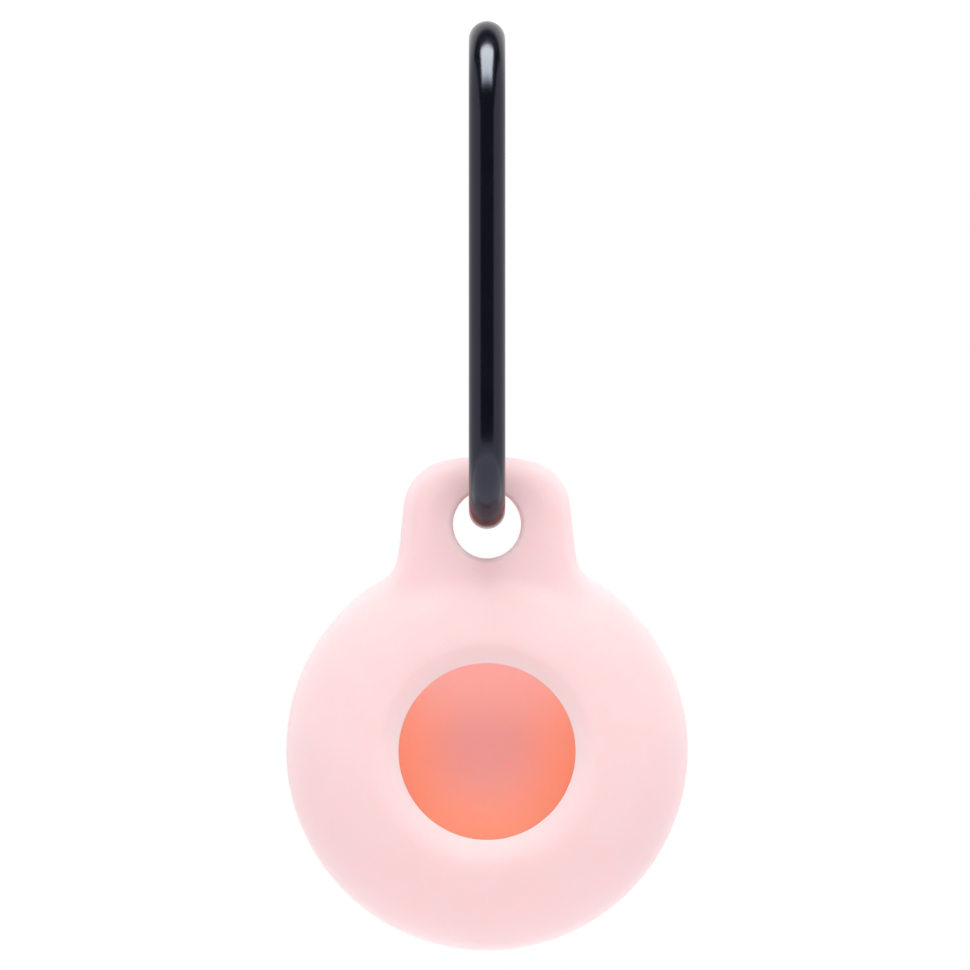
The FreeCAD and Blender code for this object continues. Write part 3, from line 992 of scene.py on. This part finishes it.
@dataclass
class Carabiner:
    """The carabiner: bar, gate, rivet, latch pin and plunger, which keep their solids, and the spring."""

    black_nodes: tuple[str, ...] = ("carabiner_frame", "carabiner_gate")
    steel_nodes: tuple[str, ...] = ("hinge_rivet", "latch_pin", "spring_plunger")
    black: BlackAnodised = field(default_factory=BlackAnodised)
    steel: GroundSteel = field(default_factory=GroundSteel)
    spring: GateSpring = field(default_factory=GateSpring)

    def build(self) -> None:
        """Gives each solid its finish and winds the spring."""
        black, steel = self.black.material(), self.steel.material()
        for nodes, material in ((self.black_nodes, black), (self.steel_nodes, steel)):
            for name in nodes:
                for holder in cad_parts[name].material_slots:
                    holder.material = material
                log.info("dressed %s with %s", name, material.name)
        spring = self.spring.build(steel)
        log.info("wound %s with %d faces", spring.name, len(spring.data.polygons))


@dataclass(frozen=True)
class SoftWindow:
    """A soft-edged part of the surroundings, each edge as the values between which it comes in.

    The lower and the upper edge are tilts in degrees, up from the level direction to the front. The side
    edges are distances from the middle plane on a ball of radius 1.
    """

    low: Span
    high: Span
    side: Span


@dataclass(frozen=True)
class Gradient:
    """A level of light with a value in the middle, which grows along a direction."""

    middle: float
    growth: Triple


@dataclass
class Studio:
    """Plain floor, soft light and the camera in front.

    A level of 1 is plain white. The rays that the gloss mirrors and the rays that light the skin each see
    surroundings of their own.
    """

    floor_z: float = -115.0
    floor_radius: float = 180.0
    floor_sides: int = 96
    floor_colour: str = "#E0E5E5"
    floor_roughness: float = 0.9
    floor_light: Colour = (1.03, 1.0, 1.02, 1.0)
    floor_fade: Span = (0.3, 0.95)
    floor_fill: float = 0.23
    floor_fill_fall: float = -0.19
    floor_mirror_gain: float = 0.6
    floor_mirror_share: float = 0.6
    camera_distance: float = 600.0
    camera_near: float = 10.0
    camera_x: float = -0.2
    camera_z: float = -42.33
    field_width: float = 96.5
    sensor: float = 36.0
    lamp_tilt: float = 63.0
    lamp_size: Span = (280.0, 300.0)
    lamp_distance: float = 500.0
    lamp_power: float = 1.55
    lamp_colour: Triple = (0.84, 1.0, 1.0)
    paper_level: Gradient = Gradient(0.88, (0.0, 0.0, -0.22))
    dark_side: SoftWindow = SoftWindow((-16.0, -6.0), (136.0, 122.0), (0.72, 0.62))
    dark_flare: float = -0.22
    dark_level: float = 0.015
    softbox: SoftWindow = SoftWindow((33.0, 56.0), (97.0, 89.0), (0.53, 0.43))
    softbox_level: float = 15.0
    softbox_colour: Colour = (0.93, 1.0, 0.8, 1.0)
    fill_level: Gradient = Gradient(1.005, (0.04, 0.25, -0.26))
    fill_red_level: Gradient = Gradient(1.1, (0.0, 0.12, 0.0))

    def add_floor(self) -> None:
        """Adds a round pale floor that fades to white at its rim and lights the sleeve from below."""
        bpy.ops.object.select_all(action="DESELECT")
        radius = self.floor_radius * MM
        bpy.ops.mesh.primitive_circle_add(
            vertices=self.floor_sides, radius=radius, fill_type="NGON", location=(0, 0, self.floor_z * MM)
        )
        floor = bpy.context.object
        floor.name = "floor"
        bpy.ops.object.mode_set(mode="EDIT")
        bpy.ops.mesh.inset(thickness=radius / 2)
        bpy.ops.object.mode_set(mode="OBJECT")
        bpy.ops.object.transform_apply()
        material, tree = new_material("matt_pale_paper")
        place = add_node(tree, "ShaderNodeTexCoord").outputs["Object"]
        flat = add_node(tree, "ShaderNodeVectorMath", {0: place, 1: (1.0, 1.0, 0.0)}, operation="MULTIPLY")
        reach = add_node(tree, "ShaderNodeVectorMath", {0: flat.outputs["Vector"]}, operation="LENGTH")
        fade = add_node(
            tree,
            "ShaderNodeMapRange",
            {
                "Value": reach.outputs["Value"],
                "From Min": self.floor_fade[0] * radius,
                "From Max": self.floor_fade[1] * radius,
            },
            interpolation_type="SMOOTHSTEP",
        ).outputs["Result"]
        paper = add_node(
            tree,
            "ShaderNodeBsdfPrincipled",
            {"Base Color": linear(self.floor_colour), "Roughness": self.floor_roughness},
        )
        path = add_node(tree, "ShaderNodeLightPath").outputs
        extra = add_node(
            tree,
            "ShaderNodeMath",
            {0: fade, 1: self.floor_fill_fall, 2: self.floor_fill},
            operation="MULTIPLY_ADD",
        ).outputs["Value"]
        level = 1.0
        for ray, gain in (("Is Diffuse Ray", extra), ("Is Glossy Ray", self.floor_mirror_gain)):
            level = add_node(
                tree, "ShaderNodeMath", {0: path[ray], 1: gain, 2: level}, operation="MULTIPLY_ADD"
            ).outputs["Value"]
        light = add_node(tree, "ShaderNodeEmission", {"Color": self.floor_light, "Strength": level})
        mirrored = add_node(
            tree,
            "ShaderNodeMath",
            {0: path["Is Glossy Ray"], 1: self.floor_mirror_share},
            operation="MULTIPLY",
        )
        share = fade
        for other in (path["Is Diffuse Ray"], mirrored.outputs["Value"]):
            larger = add_node(tree, "ShaderNodeMath", {0: share, 1: other}, operation="MAXIMUM")
            share = larger.outputs["Value"]
        mixed = add_node(
            tree, "ShaderNodeMixShader", {0: share, 1: paper.outputs["BSDF"], 2: light.outputs["Emission"]}
        )
        add_node(tree, "ShaderNodeOutputMaterial", {"Surface": mixed.outputs["Shader"]})
        floor.data.materials.append(material)

    def add_world(self) -> None:
        """Surrounds the object with white light.

        The gloss mirrors pale paper, a dark side round the camera and a softbox above it. The skin gets a
        fill that is stronger from below and behind and redder from behind. The camera sees plain white.
        """
        world = bpy.data.worlds.new("white_studio")
        bpy.context.scene.world = world
        world.use_nodes = True
        tree = world.node_tree
        tree.nodes.clear()
        toward = add_node(tree, "ShaderNodeTexCoord").outputs["Generated"]
        axes = add_node(tree, "ShaderNodeSeparateXYZ", {"Vector": toward}).outputs
        front = add_node(tree, "ShaderNodeMath", {0: axes["Y"], 1: -1.0}, operation="MULTIPLY")
        tilt = add_node(
            tree, "ShaderNodeMath", {0: axes["Z"], 1: front.outputs["Value"]}, operation="ARCTAN2"
        ).outputs["Value"]
        aside = add_node(tree, "ShaderNodeMath", {0: axes["X"]}, operation="ABSOLUTE").outputs["Value"]
        flared = add_node(
            tree, "ShaderNodeMath", {0: axes["Z"], 1: self.dark_flare, 2: aside}, operation="MULTIPLY_ADD"
        ).outputs["Value"]

        def opened(window: SoftWindow, from_middle: bpy.types.NodeSocket) -> bpy.types.NodeSocket:
            """How far a direction lies in a part of the surroundings.

            Args:
                window: the part's edges.
                from_middle: the distance from the middle plane that its side edges go by.

            Returns:
                The socket of a level that is 0 outside and 1 inside.
            """
            level = 1.0
            low, high = ([math.radians(angle) for angle in edge] for edge in (window.low, window.high))
            for value, (start, end) in ((tilt, low), (tilt, high), (from_middle, window.side)):
                inside = add_node(
                    tree,
                    "ShaderNodeMapRange",
                    {"Value": value, "From Min": start, "From Max": end},
                    interpolation_type="SMOOTHSTEP",
                ).outputs["Result"]
                product = add_node(tree, "ShaderNodeMath", {0: level, 1: inside}, operation="MULTIPLY")
                level = product.outputs["Value"]
            return level

        def grown(level: Gradient) -> bpy.types.NodeSocket:
            """How bright a gradient is in a direction.

            Args:
                level: the gradient.

            Returns:
                The socket of its level.
            """
            slope = add_node(
                tree, "ShaderNodeVectorMath", {0: toward, 1: level.growth}, operation="DOT_PRODUCT"
            )
            total = add_node(tree, "ShaderNodeMath", {0: slope.outputs["Value"], 1: level.middle})
            return total.outputs["Value"]

        dark = opened(self.dark_side, flared)
        softbox = opened(self.softbox, aside)
        path = add_node(tree, "ShaderNodeLightPath").outputs
        clear = add_node(
            tree,
            "ShaderNodeMath",
            {0: path["Is Camera Ray"], 1: path["Is Transmission Ray"]},
            operation="MAXIMUM",
        ).outputs["Value"]
        mirrored = grown(self.paper_level)
        for share, level in ((dark, self.dark_level), (softbox, self.softbox_level)):
            mixed = add_node(tree, "ShaderNodeMix", {"Factor": share, "A": mirrored, "B": level})
            mirrored = mixed.outputs["Result"]
        strength = grown(self.fill_level)
        for share, level in ((path["Is Glossy Ray"], mirrored), (clear, 1.0)):
            mixed = add_node(tree, "ShaderNodeMix", {"Factor": share, "A": strength, "B": level})
            strength = mixed.outputs["Result"]
        shown = add_node(
            tree, "ShaderNodeMath", {0: softbox, 1: path["Is Glossy Ray"]}, operation="MULTIPLY"
        )
        red = grown(self.fill_red_level)
        warm = add_node(tree, "ShaderNodeCombineColor", {"Red": red, "Green": 1.0, "Blue": 1.0})
        colour = (1.0, 1.0, 1.0, 1.0)
        for share, tint in (
            (path["Is Diffuse Ray"], warm.outputs["Color"]),
            (shown.outputs["Value"], self.softbox_colour),
        ):
            mixed = add_node(
                tree, "ShaderNodeMix", {"Factor": share, "A": colour, "B": tint}, data_type="RGBA"
            )
            colour = mixed.outputs["Result"]
        light = add_node(tree, "ShaderNodeBackground", {"Color": colour, "Strength": strength})
        add_node(tree, "ShaderNodeOutputWorld", {"Surface": light.outputs["Background"]})

    def add_lamp(self) -> None:
        """Hangs the overhead lamp that shades the sleeve from above and doesn't show in the gloss."""
        lamp = bpy.data.lights.new("overhead_lamp", "AREA")
        lamp.shape = "RECTANGLE"
        lamp.size, lamp.size_y = (side * MM for side in self.lamp_size)
        lamp.energy = self.lamp_power
        lamp.color = self.lamp_colour
        holder = bpy.data.objects.new("overhead_lamp", lamp)
        bpy.context.scene.collection.objects.link(holder)
        angle = math.radians(self.lamp_tilt)
        away = Vector((0.0, -math.cos(angle), math.sin(angle)))
        holder.location = Vector((0.0, 0.0, self.camera_z * MM)) + away * self.lamp_distance * MM
        holder.rotation_euler = away.to_track_quat("Z", "Y").to_euler()
        holder.visible_camera = False
        holder.visible_glossy = False

    def add_camera(self) -> None:
        """Sets a level camera in front of the holder."""
        camera = bpy.data.cameras.new("camera")
        camera.sensor_width = self.sensor
        camera.lens = self.sensor * self.camera_distance / self.field_width
        camera.clip_start = self.camera_near * MM
        holder = bpy.data.objects.new("camera", camera)
        bpy.context.scene.collection.objects.link(holder)
        holder.location = (self.camera_x * MM, -self.camera_distance * MM, self.camera_z * MM)
        holder.rotation_euler = (math.pi / 2, 0.0, 0.0)
        bpy.context.scene.camera = holder

    def build(self) -> None:
        """Sets up floor, light, camera and the plain view transform."""
        bpy.context.scene.view_settings.view_transform = "Standard"
        self.add_floor()
        self.add_world()
        self.add_lamp()
        self.add_camera()


def main() -> None:
    """Builds the sleeve, finishes the carabiner and sets up the studio."""
    logging.basicConfig(level=logging.INFO, format="%(name)s: %(message)s")
    sleeve = SiliconeSleeve().build()
    log.info("built %s with %d faces", sleeve.name, len(sleeve.data.polygons))
    Carabiner().build()
    Studio().build()


if __name__ == "__main__":
    main()
